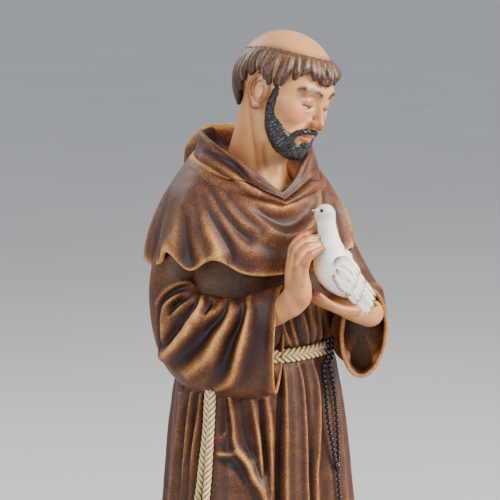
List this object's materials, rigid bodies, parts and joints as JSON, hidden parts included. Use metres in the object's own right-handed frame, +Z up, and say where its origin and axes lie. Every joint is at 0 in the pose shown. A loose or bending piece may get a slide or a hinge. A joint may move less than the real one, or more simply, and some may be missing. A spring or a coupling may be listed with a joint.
{
  "type": "saint francis statue",
  "caption": "Standing friar figure in a hooded habit and rope belt, a dove held at its breast, on a low round base, with a string of beads at the belt.",
  "frame": {"origin": "centre of the underside of the base", "axes": "+Z up, the figure faces -Y, its right side is at -X"},
  "size_m": [0.144, 0.144, 0.4571],
  "materials": {
    "painted_resin": "cast resin, hand painted: dry-brushed brown habit, tan skin, off-white dove, cream rope, satin",
    "black_beads": "black glass-like beads on a black thread, glossy"
  },
  "bodies": {
    "root": {"statue": "painted_resin", "rosary": "black_beads"}
  },
  "joints": []
}
